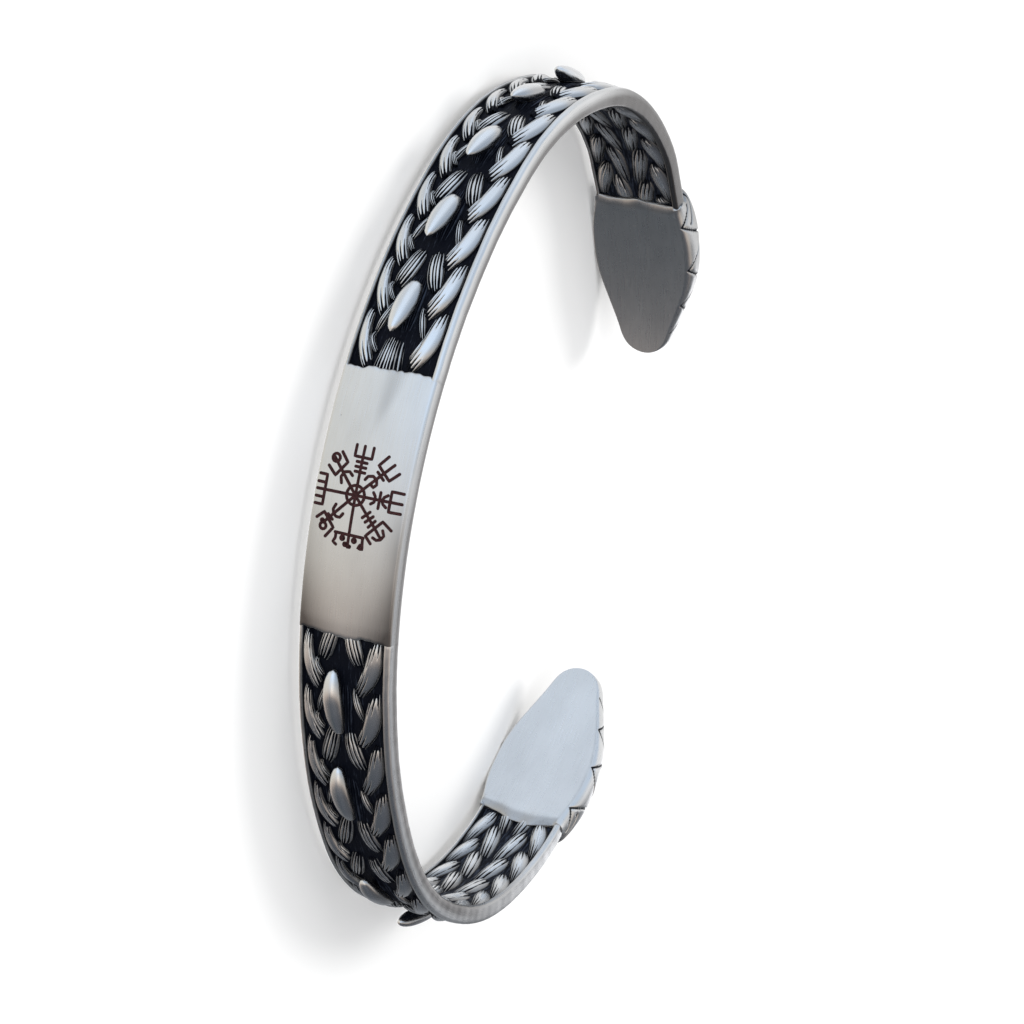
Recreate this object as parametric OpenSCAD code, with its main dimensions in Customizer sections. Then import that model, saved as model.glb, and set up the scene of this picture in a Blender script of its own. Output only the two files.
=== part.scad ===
// Viking arm ring: an open cast cuff with braided stretches, a plain plaque and two snake heads.
// It lies on its side: the ring axis is +Z, the plaque faces -Y and the opening faces +Y.

/* [Ring] */
// Outside width across the wrist, mm
body_w = 68; // [62:1:76]
// Outside depth of the oval the ring follows, mm
body_d = 55; // [50:1:58]
// Corner radius at the two sides as a share of half the depth
side_share = 0.836; // [0.76:0.01:0.88]
// Width of the band along the ring axis, mm
band_h = 7.6; // [6.5:0.1:9.5]
// Thickness of the band at its rails, mm
wall_t = 1.6; // [1.4:0.1:2.4]
// Rounding of the rim edges, mm
edge_r = 0.25; // [0.15:0.05:0.35]

/* [Plaque] */
// Length of the plain plaque on the -X side of the middle, mm
plaque_left = 11.3; // [9:0.1:13]
// Length of the plain plaque on the +X side of the middle, mm
plaque_right = 8.4; // [7:0.1:11]

/* [Braid] */
// Width of the plain rail along each rim, mm
rail_w = 0.55; // [0.45:0.05:0.8]
// Depth of the groove floor below the outer rail face, mm
outer_dip = 0.5; // [0.3:0.05:0.55]
// Depth of the groove floor below the inner rail face, mm
inner_dip = 0.4; // [0.25:0.05:0.5]
// How far the outer braid stands above the outer rail face, mm
outer_rise = 0.12; // [0:0.02:0.3]
// Number of lobes along each braided stretch
lobes = 14; // [10:1:14]
// Braided length on the -X side of the ring, mm
braid_left = 56.6; // [50:0.1:60]
// Braided length on the +X side of the ring, mm
braid_right = 55; // [50:0.1:60]

/* [Beads] */
// Length of one bead, mm
bead_l = 4.4; // [3.6:0.1:5]
// Width of one bead, mm
bead_w = 1.7; // [1.3:0.1:2.1]
// Height of a bead above the outer rail face, mm
bead_h = 0.95; // [0.6:0.05:1.3]
// Slope of a bead down to its thin end, degrees
bead_tilt = 12; // [9:1:15]
// Offset of the beads from the middle of the band, mm
bead_z = -0.3; // [-0.6:0.1:0.6]

/* [Heads] */
// Length of one snake head, mm
head_l = 15.7; // [13:0.1:17]
// Greatest width of one head, mm
head_w = 9.2; // [8.6:0.1:10.5]
// Greatest thickness of one head, mm
head_t = 3.5; // [2.8:0.1:4.2]
// Overhang of the head over the braid at its base, mm
head_lip = 1.1; // [0.5:0.1:1.6]

/* [Hidden] */
$fn = 48;

// Planform: four tangent arcs, symmetric about X and Y.
half_w = body_w / 2;
half_d = body_d / 2;
side_r = half_d * side_share;
side_c = half_w - side_r;
end_c = (side_c * side_c - pow(half_d - side_r, 2)) / (2 * (half_d - side_r));
end_r = half_d + end_c;
turn = atan2(side_c, end_c);
mid_z = head_w / 2;
deg = 180 / PI;
arc_end = end_r * turn / deg;
arc_side = side_r * (180 - 2 * turn) / deg;

// Distance along the outer face, from the front, to the direction the face looks in, degrees from -Y.
function look(s) = let (a = abs(s), g = s < 0 ? -1 : 1)
    g * (a <= arc_end ? a / end_r * deg
        : a <= arc_end + arc_side ? turn + (a - arc_end) / side_r * deg
        : 180 - turn + (a - arc_end - arc_side) / end_r * deg);
function arc_x(f) = abs(f) > turn && abs(f) < 180 - turn ? (f < 0 ? -side_c : side_c) : 0;
function arc_y(f) = abs(f) <= turn ? end_c : abs(f) >= 180 - turn ? -end_c : 0;
function arc_r(f) = abs(f) > turn && abs(f) < 180 - turn ? side_r : end_r;
// Point at distance s along the ring, off above the outer face, z from the middle of the band.
function at(s, off, z) = let (f = look(s), r = arc_r(f) + off)
    [arc_x(f) + r * sin(f), arc_y(f) - r * cos(f), mid_z + z];

arcs = [
    [-180, turn - 180, 0, -end_c, end_r],
    [turn - 180, -turn, -side_c, 0, side_r],
    [-turn, turn, 0, end_c, end_r],
    [turn, 180 - turn, side_c, 0, side_r],
    [180 - turn, 180, 0, -end_c, end_r]];

// Sweeps a profile along the ring from s0 to s1; the profile has x from -wall_t to 0 and y across the band.
module along(s0, s1) {
    for (a = arcs) {
        f0 = max(look(s0), a[0]);
        f1 = min(look(s1), a[1]);
        if (f1 - f0 > 0.01)
            translate([a[2], a[3], mid_z])
            rotate([0, 0, f0 - 90])
            rotate_extrude(angle = f1 - f0)
            translate([a[4], 0])
            children();
    }
}

// One rim edge strip with rounded outer corners; side is 1 or -1.
module rim(w, side) {
    translate([-wall_t, side > 0 ? band_h / 2 - w : -band_h / 2 + edge_r])
        square([wall_t, w - edge_r]);
    translate([edge_r - wall_t, side > 0 ? band_h / 2 - w : -band_h / 2])
        square([wall_t - 2 * edge_r, w]);
    for (x = [-edge_r, edge_r - wall_t])
        translate([x, side * (band_h / 2 - edge_r)])
        circle(r = edge_r);
}

module plaque() {
    along(-plaque_left, plaque_right) {
        rim(band_h / 2, 1);
        rim(band_h / 2, -1);
    }
}

// Braid relief as height shares; v counts lobes along the ring, y is the distance from the middle line.
function bump(d) = abs(d) < 1 ? sqrt(1 - d * d) : 0;
function ramp(x, a, b) = min(1, max(0, (x - a) / (b - a)));
function lobe(t, y) = t < 0 || t > 1 ? 0
    : (0.35 + 0.65 * ramp(t, 0, 0.3)) * (1 - 0.55 * ramp(t, 0.8, 1))
        * bump((y - (0.66 + 0.16 * sin(150 * t + 30) - 0.34 * t * t)) / (0.215 - 0.07 * t));
function strand(t, y) = t < 0 || t > 1 ? 0
    : 0.72 * (0.5 + 0.5 * ramp(t, 0, 0.4)) * bump((y - (0.13 + 0.36 * t)) / 0.16);
function relief(v, y) = let (k = floor(v), u = v - k)
    max(lobe(u / 1.1, y), lobe((u + 1) / 1.1, y), strand((u - 0.25) / 0.8, y), strand((u + 0.75) / 0.8, y));

// Rows of the braid relief, as shares from the middle of the band to the foot of the rail.
foot_z = band_h / 2 - rail_w * 1.15;
rail_z = band_h / 2 - rail_w;
outer_rows = [-0.86, -0.68, -0.5, -0.25, 0, 0.25, 0.5, 0.68, 0.86];
inner_rows = [0.82, 0.6, 0.3, 0, -0.3, -0.6, -0.82];
per_lobe = 6;
// The stretches end this far inside the plaque and the heads, and stand this little inside their faces.
sink = wall_t * 0.32;
inset = edge_r * 0.12;
keep = inner_dip * 0.1;
near = wall_t * 0.015;
fade = head_lip * 1.25;

// One section of a braided stretch, as [off, z] going round from the outer face; full fills the grooves.
function section(v, h, full) = let (o = -inset, n = inset - wall_t, e = band_h / 2 - inset, w = edge_r) concat(
    [[o, w - e], [o, -rail_z], [full ? o : -outer_dip, -foot_z]],
    [for (y = outer_rows) [full ? o : -outer_dip + (outer_dip + outer_rise) * h * relief(v, abs(y)), y * foot_z]],
    [[full ? o : -outer_dip, foot_z], [o, rail_z], [o, e - w], [o - w, e], [n + w, e],
     [n, e - w], [n, rail_z], [full ? n : inner_dip - wall_t, foot_z]],
    [for (y = inner_rows) [full ? n : inner_dip - wall_t - (inner_dip - keep) * h * relief(v + 0.5, abs(y)), y * foot_z]],
    [[full ? n : inner_dip - wall_t, -foot_z], [n, -rail_z], [n, w - e], [n + w, -e], [o - w, -e]]);

// The relief runs out before the head, so that the lip of the head stands clear of it.
module braid(s0, s1, head_at, phase) {
    n = lobes * per_lobe + 2;
    pitch = (s1 - s0) / lobes;
    row_s = concat([s0 - sink], [for (i = [0:n - 2]) s0 + near + i * (s1 - s0 - 2 * near) / (n - 2)], [s1 + sink]);
    g = len(section(0, 0, true));
    pts = [for (i = [0:n]) for (q = section((row_s[i] - s0) / pitch + phase,
        ramp(abs(row_s[i] - head_at), fade, fade * 1.6), i == 0 || i == n))
        at(row_s[i], q[0], q[1])];
    c = (n + 1) * g;
    polyhedron(points = concat(pts, [at(row_s[0], -wall_t / 2, 0), at(row_s[n], -wall_t / 2, 0)]), faces = concat(
        [for (i = [0:n - 1]) for (j = [0:g - 1]) [i * g + j, i * g + (j + 1) % g, (i + 1) * g + (j + 1) % g]],
        [for (i = [0:n - 1]) for (j = [0:g - 1]) [i * g + j, (i + 1) * g + (j + 1) % g, (i + 1) * g + j]],
        [for (j = [0:g - 1]) [c, (j + 1) % g, j]],
        [for (j = [0:g - 1]) [c + 1, n * g + j, n * g + (j + 1) % g]]), convexity = 10);
}

// Bead: a teardrop turned about its long axis, knob end at the plaque; share is the place along the stretch.
bead_shape = [[0, 0], [0.035, 0.42], [0.12, 0.78], [0.26, 1], [0.42, 0.96], [0.62, 0.74], [0.82, 0.42], [1, 0]];
module bead(s, way) {
    f = look(s);
    translate(at(s - way * bead_l * 0.16, bead_h - bead_w / 2, bead_z))
    rotate([0, 0, f + way * bead_tilt])
    rotate([0, way * 90, 0])
    translate([0, 0, -bead_l * 0.34])
    rotate_extrude($fn = 24)
    polygon([for (q = bead_shape) [q[1] * bead_w / 2, q[0] * bead_l]]);
}
beads_left = [0.09, 0.232, 0.373, 0.516, 0.657, 0.8, 0.925];
beads_right = [0.104, 0.268, 0.535, 0.69, 0.845];

// Head: stations along the head as [share of length, share of width, share of thickness].
head_shape = [[0, 0.84, 0.8], [0.05, 0.865, 0.92], [0.12, 0.91, 0.98], [0.22, 0.97, 1], [0.34, 1, 1], [0.46, 0.975, 0.97],
    [0.58, 0.895, 0.92], [0.7, 0.765, 0.84], [0.8, 0.63, 0.76], [0.88, 0.51, 0.68], [0.94, 0.39, 0.6], [0.98, 0.26, 0.52],
    [1, 0.13, 0.42]];
head_n = 20;
function sgn_pow(x, p) = (x < 0 ? -1 : 1) * pow(abs(x), p);
module head(s0, way) {
    n = len(head_shape) - 1;
    m = head_n + 2;
    // Section points: the two inner corners, then over the domed outer side.
    sec = concat([[-1, 0.02]], [for (j = [0:head_n]) let (a = 180 - 180 * j / head_n)
        [sgn_pow(cos(a), 0.55), 0.08 + 0.92 * pow(sin(a), 0.75)]], [[1, 0.02]]);
    pts = [for (i = [0:n]) let (q = head_shape[i]) for (e = sec)
        let (back = head_lip * pow(1 - q[0], 6) * sin(min(1, max(0, (e[1] * head_t * q[2] - wall_t) / (head_t - wall_t))) * 120))
        at(s0 + way * (head_l * q[0] - back), e[1] * head_t * q[2] - wall_t - 0.3 * inner_dip, e[0] * q[1] * head_w / 2)];
    g = len(sec);
    tip = at(s0 + way * head_l * 1.006, head_t * 0.2 - wall_t, 0);
    root = at(s0 + way * sink / 2, -wall_t / 2, 0);
    c = (n + 1) * g;
    side = [for (i = [0:n - 1]) for (j = [0:g - 1]) let (k = (j + 1) % g)
        each [[i * g + j, i * g + k, (i + 1) * g + k], [i * g + j, (i + 1) * g + k, (i + 1) * g + j]]];
    ends = [for (j = [0:g - 1]) let (k = (j + 1) % g) each [[c + 1, k, j], [c, n * g + j, n * g + k]]];
    all = concat(side, ends);
    polyhedron(points = concat(pts, [tip, root]),
        faces = [for (t = all) way < 0 ? [t[2], t[1], t[0]] : t], convexity = 6);
}

left_end = plaque_left + braid_left;
right_end = plaque_right + braid_right;

module cuff() {
    color([0.72, 0.73, 0.75]) {
        plaque();
        braid(-left_end, -plaque_left, -left_end, 0.3);
        braid(plaque_right, right_end, right_end, 0.1);
        for (q = beads_left) bead(-plaque_left - q * braid_left, -1);
        for (q = beads_right) bead(plaque_right + q * braid_right, 1);
        head(-left_end, -1);
        head(right_end, 1);
    }
}

cuff();
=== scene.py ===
"""Viking arm ring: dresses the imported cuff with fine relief, engraving and finishes."""
import math

import bpy
import numpy as np
from mathutils import Matrix, Vector


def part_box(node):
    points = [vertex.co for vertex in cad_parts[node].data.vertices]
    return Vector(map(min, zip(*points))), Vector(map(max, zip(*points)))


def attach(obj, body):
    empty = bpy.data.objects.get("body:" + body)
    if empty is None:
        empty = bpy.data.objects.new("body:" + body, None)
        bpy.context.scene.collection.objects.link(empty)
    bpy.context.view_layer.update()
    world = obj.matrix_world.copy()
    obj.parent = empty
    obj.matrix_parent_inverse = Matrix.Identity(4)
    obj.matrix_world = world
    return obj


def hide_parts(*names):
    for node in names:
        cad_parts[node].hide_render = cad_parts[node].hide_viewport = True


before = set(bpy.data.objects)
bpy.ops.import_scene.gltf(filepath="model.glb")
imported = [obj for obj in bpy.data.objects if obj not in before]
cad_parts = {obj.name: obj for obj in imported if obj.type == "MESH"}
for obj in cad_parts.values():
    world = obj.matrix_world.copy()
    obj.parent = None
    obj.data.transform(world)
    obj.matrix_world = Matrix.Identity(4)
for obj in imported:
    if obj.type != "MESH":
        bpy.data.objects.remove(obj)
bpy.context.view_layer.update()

bl_info = {
    "name": "Viking arm ring",
    "version": (1, 0, 0),
    "blender": (4, 5, 0),
    "location": "View3D > Sidebar > Arm ring",
    "description": "Builds a braided open cuff with snake heads, piece by piece",
    "category": "Add Mesh",
}

MM = 0.001
# The heads are as wide as the solid is high.
CUFF_LOW, CUFF_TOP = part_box("cuff")
CUFF_HIGH = (CUFF_TOP[2] - CUFF_LOW[2]) / MM


# Sizes and colours that a user would change

def length(name, text, value):
    """A size in millimetres."""
    return bpy.props.FloatProperty(name=name, description=text, default=value, unit="NONE")


def angle(name, text, degrees):
    """An angle, given in degrees and held in radians."""
    return bpy.props.FloatProperty(
        name=name, description=text, default=math.radians(degrees), subtype="ANGLE")


def factor(name, text, value):
    """A plain share or scale."""
    return bpy.props.FloatProperty(
        name=name, description=text, default=value, subtype="FACTOR", min=0, max=2)


def tint(name, text, value):
    """A surface colour."""
    return bpy.props.FloatVectorProperty(
        name=name, description=text, default=value, size=3, subtype="COLOR", min=0, max=1)


class RingSizes(bpy.types.PropertyGroup):
    """Main sizes of the ring: lengths in millimetres, angles and shares."""
    body_w: length("Width", "Outside width across the wrist", 68.0)
    body_d: length("Depth", "Outside depth of the oval", 55.0)
    side_share: factor("Side share", "Side radius as a share of half the depth", 0.836)
    band_h: length("Band", "Width of the band along the ring axis", 7.6)
    wall_t: length("Thickness", "Thickness of the band at its rails", 1.6)
    edge_r: length("Edge", "Rounding of the rim edges", 0.24)
    rail_w: length("Rail", "Width of the plain rail along the near rim", 0.5)
    rail_far: length("Far rail", "Width of the plain rail along the other rim", 0.27)
    face_fall: length("Face fall", "How far the outer face falls off at its rims", 0.09)
    rim_crown: length("Rim crown", "How far the sides of the rims bulge", 0.02)
    arm_bulge: length("Arm bulge", "How far the bent arms bulge before the heads", 0.24)
    outer_dip: length("Outer ground", "Depth of the outer ground", 0.55)
    inner_dip: length("Inner ground", "Depth of the inner ground", 0.42)
    plaque_left: length("Plaque left", "Plaque length on the -X side", 11.3)
    plaque_right: length("Plaque right", "Plaque length on the +X side", 8.4)
    braid_left: length("Braid left", "Braided length on the -X side", 56.6)
    braid_right: length("Braid right", "Braided length on the +X side", 55.0)
    head_l: length("Head length", "Length of one snake head", 15.7)
    head_w: length("Head width", "Greatest width of one head", CUFF_HIGH)
    head_t: length("Head thickness", "Greatest thickness of one head", 3.8)
    head_lip: length("Head lip", "Overhang of the head over the braid", 1.1)
    bead_l: length("Bead length", "Length of one bead", 5.0)
    bead_w: length("Bead width", "Width of one bead", 1.7)
    bead_h: length("Bead height", "Height of a bead above the rail", 0.95)
    bead_tilt: angle("Bead slope", "Slope of a bead to its thin end", 12.0)
    bead_z: length("Bead offset", "Offset of the beads from the middle", -0.5)
    bead_lean: angle("Bead lean", "Sideways lean of the thin end", 3.0)
    stave_scale: factor("Stave scale", "Scale of the engraved stave", 1.0)
    stave_line: length("Stave line", "Width of an engraved line", 0.235)


class RingColours(bpy.types.PropertyGroup):
    """Colours of the ring and the floor."""
    steel: tint("Steel", "Satin steel", (0.74, 0.745, 0.75))
    bright: tint("Polished", "Polished relief", (0.80, 0.81, 0.82))
    ground: tint("Ground", "Blackened ground", (0.003, 0.004, 0.008))
    worn: tint("Worn ground", "Rubbed streaks on the blackened ground", (0.05, 0.062, 0.09))
    # The grey film colour paints shade on the steel, and also its streaks.
    film_and_painted_shade: tint("Film", "Grey film on the dull steel", (0.105, 0.098, 0.096))
    mark: tint("Mark", "Engraved lines", (0.036, 0.012, 0.013))
    floor: tint("Floor", "Plain floor", (0.93, 0.93, 0.93))


# Shader helpers

class Value:
    """One node socket; maths on it adds Math nodes."""

    def __init__(self, shader, socket):
        self.shader, self.socket = shader, socket

    def _math(self, operation, first, second):
        node = self.shader.node("ShaderNodeMath", dict(operation=operation), {0: first, 1: second})
        return Value(self.shader, node.outputs[0])

    def __add__(self, other):
        return self._math("ADD", self, other)

    __radd__ = __add__

    def __sub__(self, other):
        return self._math("SUBTRACT", self, other)

    def __rsub__(self, other):
        return self._math("SUBTRACT", other, self)

    def __mul__(self, other):
        return self._math("MULTIPLY", self, other)

    __rmul__ = __mul__

    def at_most(self, other):
        return self._math("MINIMUM", self, other)

    def at_least(self, other):
        return self._math("MAXIMUM", self, other)


class Shader:
    """A node tree of one material, or of the world, built from calls."""

    def __init__(self, name, tree=None):
        if tree is None:
            self.material = bpy.data.materials.new(name)
            self.material.use_nodes = True
            tree = self.material.node_tree
        self.tree = tree
        self.tree.nodes.clear()

    def node(self, kind, settings=None, sockets=None):
        """Adds a node, sets it, then fills or links its sockets."""
        new = self.tree.nodes.new(kind)
        for key, value in (settings or {}).items():
            if key == "stops":
                ramp = new.color_ramp
                while len(ramp.elements) < len(value):
                    ramp.elements.new(0.5)
                for element, (place, rgb) in zip(ramp.elements, value):
                    element.position, element.color = place, colour(rgb)
            else:
                setattr(new, key, value)
        for key, value in (sockets or {}).items():
            if isinstance(value, Value):
                self.tree.links.new(value.socket, new.inputs[key])
            else:
                new.inputs[key].default_value = value
        return new

    def out(self, node, socket=0):
        return Value(self, node.outputs[socket])

    def attribute(self, name, socket="Fac"):
        return self.out(self.node("ShaderNodeAttribute", dict(attribute_name=name)), socket)

    def noise(self, vector, scale, detail=3.0, rough=0.5):
        node = self.node("ShaderNodeTexNoise", None,
                         {"Vector": vector, "Scale": scale, "Detail": detail, "Roughness": rough})
        return self.out(node)

    def streaks(self, scale, detail=3.0, rough=0.6):
        """Noise laid along a piece's run, with a scale for each of its axes."""
        place = self.node("ShaderNodeVectorMath", dict(operation="MULTIPLY"),
                          {0: self.attribute("run", "Vector"), 1: scale})
        return self.noise(self.out(place), 1.0, detail, rough)

    def ranged(self, value, low, high, to_low=0.0, to_high=1.0):
        """Maps low..high of a value smoothly to to_low..to_high."""
        node = self.node("ShaderNodeMapRange", dict(interpolation_type="SMOOTHSTEP"),
                         {"Value": value, "From Min": low, "From Max": high,
                          "To Min": to_low, "To Max": to_high})
        return self.out(node)

    def mixed(self, share, first, second):
        """Mixes two colours."""
        node = self.node("ShaderNodeMix", dict(data_type="RGBA"), {0: share, 6: first, 7: second})
        return self.out(node, 2)

    def finish(self, skin, roughness, metallic, height=None, distance=0.00005, gloss=0.5):
        """Joins everything in a Principled surface."""
        sockets = {"Base Color": skin, "Roughness": roughness, "Metallic": metallic}
        if height is not None:
            bump = self.node("ShaderNodeBump", None,
                             {"Strength": 1.0, "Distance": distance, "Height": height})
            sockets["Normal"] = self.out(bump)
        surface = self.node("ShaderNodeBsdfPrincipled", None, sockets)
        surface.inputs["Specular IOR Level"].default_value = gloss
        end = self.node("ShaderNodeOutputMaterial")
        self.tree.links.new(surface.outputs[0], end.inputs[0])
        return self.material


def colour(rgb):
    return (rgb[0], rgb[1], rgb[2], 1.0)


def steel_finish(name, base, roughness, brush, pitted=True):
    """Brushed steel; black where the attribute dark is high, streaked where fray is, and greyed with painted
    shade by a film.
    """
    shader = Shader(name)
    colours = bpy.context.scene.ring_colours
    coarse = shader.streaks((0.35, 6.5, 6.5))
    fine = shader.streaks((0.7, 13.0, 13.0), 2.0, 0.5)
    cloud = shader.streaks((0.2, 0.34, 0.34), 2.0, 0.5)
    grain = shader.streaks((9.0, 9.0, 9.0))
    # The same patterns, swinging about nothing.
    swing, hair, fleck = coarse - 0.5, fine - 0.5, grain - 0.5
    fray = shader.attribute("fray")
    dark = shader.attribute("dark") + swing * fray * 2.2 + fleck * 0.14
    dark = shader.ranged(dark, 0.24, 0.66)
    height = coarse * (0.6 * brush) + fine * (0.3 * brush) + grain * 0.05
    if pitted:
        pits = shader.ranged(shader.streaks((1.9, 1.9, 1.9), 1.0, 0.5), 0.8, 0.83)
        dark = dark.at_least(pits * 0.35)
        height = height - pits * 0.6
    tone = swing * (0.4 * brush) + hair * (0.2 * brush) + (cloud - 0.5) * 0.55
    dull = colour([c * 0.84 for c in base])
    shade = shader.mixed(shader.ranged(tone, -0.3, 0.3), dull, colour(base))
    # Grey film: painted shade from the point attribute, plus streaks where fray is.
    film_and_painted_shade = shader.attribute("tarnish") + swing * fray
    shade = shader.mixed(film_and_painted_shade.at_least(0.0).at_most(1.0), shade, colour(colours.film_and_painted_shade))
    skin = shader.mixed(dark, shade, colour(colours.ground))
    rough = swing * (0.14 * brush) + hair * (0.08 * brush) + fleck * 0.05 + roughness
    rough = rough * (1 - dark) + dark * 0.5
    metal = 1 - dark * 0.8
    return shader.finish(skin, rough, metal, height, distance=0.000012, gloss=0.15)


def ground_finish(name):
    """Blackened ground between the strands, with faint blue-grey streaks."""
    shader = Shader(name)
    colours = bpy.context.scene.ring_colours
    hatch = shader.streaks((0.7, 7.0, 7.0))
    grain = shader.streaks((6.0, 6.0, 6.0))
    bare = 1 - shader.attribute("dark")
    rub = shader.ranged(hatch + (grain - 0.5) * 0.2 + bare * 0.4, 0.56, 0.84)
    skin = shader.mixed(rub, colour(colours.ground), colour(colours.worn))
    rough = grain * 0.3 + 0.36
    return shader.finish(skin, rough, rub * 0.8, hatch + grain * 0.3, distance=0.00006, gloss=0.06)


def mark_finish(name):
    """Brown-black engraved lines."""
    shader = Shader(name)
    mark = bpy.context.scene.ring_colours.mark
    grain = shader.streaks((7.0, 7.0, 7.0))
    deep, pale = colour([c * 0.55 for c in mark]), colour([c * 1.5 for c in mark])
    skin = shader.mixed(shader.ranged(grain, 0.35, 0.7), deep, pale)
    return shader.finish(skin, grain * 0.2 + 0.5, 0.1, grain, distance=0.00001, gloss=0.15)


def floor_finish(name):
    """Plain pale floor."""
    shader = Shader(name)
    pale = bpy.context.scene.ring_colours.floor
    place = shader.out(shader.node("ShaderNodeTexCoord"), "Object")
    cloud = shader.noise(place, 14.0, 2.0)
    skin = shader.mixed(cloud, colour([c * 0.995 for c in pale]), colour(pale))
    return shader.finish(skin, cloud * 0.05 + 0.85, 0.0)


def smooth(value):
    """0 below 0, 1 above 1 and smooth between."""
    value = np.clip(value, 0, 1)
    return value * value * (3 - 2 * value)


def rise(value, start, stop):
    """0 at start, 1 at stop and smooth between; start may be the greater one."""
    return smooth((value - start) / (stop - start))


def joined(*parts):
    """Three values for each point, as vectors."""
    return np.stack(np.broadcast_arrays(*parts), -1)


# Planform: four tangent arcs, as in the solid

class Oval:
    """Places a distance along the ring, a height off the outer face and a height across the band."""

    def __init__(self, size):
        half_w, half_d = size.body_w / 2, size.body_d / 2
        self.side_r = half_d * size.side_share
        self.side_c = half_w - self.side_r
        self.end_c = (self.side_c ** 2 - (half_d - self.side_r) ** 2) / (2 * (half_d - self.side_r))
        self.end_r = half_d + self.end_c
        self.turn = math.atan2(self.side_c, self.end_c)
        self.arc_end = self.end_r * self.turn
        self.arc_side = self.side_r * (math.pi - 2 * self.turn)
        self.mid_z = size.head_w / 2
        self.arm_bulge = size.arm_bulge

    def look(self, s):
        """Direction the outer face looks in, from -Y, radians."""
        a = np.abs(s)
        front = a / self.end_r
        side = self.turn + (a - self.arc_end) / self.side_r
        back = math.pi - self.turn + (a - self.arc_end - self.arc_side) / self.end_r
        return np.sign(s) * np.where(a <= self.arc_end, front,
                                     np.where(a <= self.arc_end + self.arc_side, side, back))

    def at(self, s, off, z):
        """Points in millimetres, in the row frame."""
        s, off, z = np.broadcast_arrays(np.asarray(s, float), off, z)
        away = np.abs(s)
        # The bulge comes at the bend and goes at the head.
        off = off + self.arm_bulge * rise(away, 42, 50) * rise(away, 66, 62)
        face = self.look(s)
        size = np.abs(face)
        side = (size > self.turn) & (size < math.pi - self.turn)
        cx = np.where(side, np.sign(face) * self.side_c, 0.0)
        cy = np.where(side, 0.0, np.where(size <= self.turn, self.end_c, -self.end_c))
        r = np.where(side, self.side_r, self.end_r) + off
        return joined(cx + r * np.sin(face), cy - r * np.cos(face), self.mid_z + z)


# Mesh helpers

def curve_through(knots, t):
    """Smooth values through [t, a, b, ...] rows."""
    knots = np.asarray(knots, float)
    x, y = knots[:, 0], knots[:, 1:]
    slope = np.gradient(y, x, axis=0)
    i = np.clip(np.searchsorted(x, t, side="right") - 1, 0, len(x) - 2)
    h = (x[i + 1] - x[i])[..., None]
    u = ((t - x[i])[..., None]) / h
    a = (1 + 2 * u) * (1 - u) ** 2
    b = u * (1 - u) ** 2
    c = u ** 2 * (3 - 2 * u)
    d = u ** 2 * (u - 1)
    return a * y[i] + b * h * slope[i] + c * y[i + 1] + d * h * slope[i + 1]


def grid_faces(rows, columns, start=0, closed=False, flip=False):
    """Quads of a grid of points; closed joins the last column to the first."""
    last = columns if closed else columns - 1
    i, j = np.meshgrid(np.arange(rows - 1), np.arange(last), indexing="ij")
    k = (j + 1) % columns
    near, far = i * columns, (i + 1) * columns
    quad = np.stack([near + j, near + k, far + k, far + j], -1).reshape(-1, 4) + start
    return quad[:, ::-1] if flip else quad


class Piece:
    """Collects grids of points in millimetres and makes one object."""

    def __init__(self, name):
        self.name, self.points, self.run = name, [], []
        self.dark, self.fray, self.tarnish = [], [], []
        self.quads, self.caps, self.count = [], [], 0

    def grid(self, points, run, dark, fray=0.0, tarnish=0.0, closed=False, flip=False, caps=False):
        """Adds a grid of points. run is the place on it that its patterns follow, dark its
        blackening and painted shade, fray how streaked that is, and the next value how much grey film of
        painted shade lies on it."""
        rows, columns = points.shape[:2]
        self.points.append(points.reshape(-1, 3))
        self.run.append(np.broadcast_to(run, points.shape).reshape(-1, 3))
        for values, kept in ((dark, self.dark), (fray, self.fray), (tarnish, self.tarnish)):
            kept.append(np.broadcast_to(values, points.shape[:2]).reshape(-1))
        self.quads.append(grid_faces(rows, columns, self.count, closed, flip))
        if caps:
            first = list(range(self.count, self.count + columns))
            last = list(range(self.count + (rows - 1) * columns, self.count + rows * columns))
            self.caps += [first if flip else first[::-1], last[::-1] if flip else last]
        self.count += rows * columns

    def build(self, finish, node="cuff", body="root"):
        mesh = bpy.data.meshes.new(self.name)
        points = np.concatenate(self.points) * MM
        quads = np.concatenate(self.quads)
        mesh.from_pydata(points.tolist(), [], quads.tolist() + self.caps)
        mesh.attributes.new("run", "FLOAT_VECTOR", "POINT").data.foreach_set(
            "vector", np.concatenate(self.run).astype(np.float32).ravel())
        for key, values in (("dark", self.dark), ("fray", self.fray), ("tarnish", self.tarnish)):
            mesh.attributes.new(key, "FLOAT", "POINT").data.foreach_set(
                "value", np.concatenate(values).astype(np.float32))
        mesh.materials.append(finish)
        mesh.polygons.foreach_set("use_smooth", [True] * len(quads) + [False] * len(self.caps))
        mesh.update()
        if mesh.validate():
            raise RuntimeError(f"{self.name} has faces that Blender had to mend")
        obj = bpy.data.objects.new(self.name, mesh)
        bpy.context.scene.collection.objects.link(obj)
        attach(obj, body)
        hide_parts(node)
        return obj


def material(name, make):
    """Makes a material once."""
    return bpy.data.materials.get(name) or make(name)


def steel_satin():
    tone = bpy.context.scene.ring_colours.steel
    return material("steel_satin", lambda n: steel_finish(n, tone, 0.29, 0.65))


def steel_polished():
    tone = bpy.context.scene.ring_colours.bright
    return material("steel_polished", lambda n: steel_finish(n, tone, 0.26, 0.5, pitted=False))


def black_ground():
    return material("black_ground", ground_finish)


def sizes():
    return bpy.context.scene.ring_sizes


def ends(size):
    """Distances where the plaque and the heads begin, left then right."""
    return ((-size.plaque_left - size.braid_left, -size.plaque_left),
            (size.plaque_right, size.plaque_right + size.braid_right))


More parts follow.
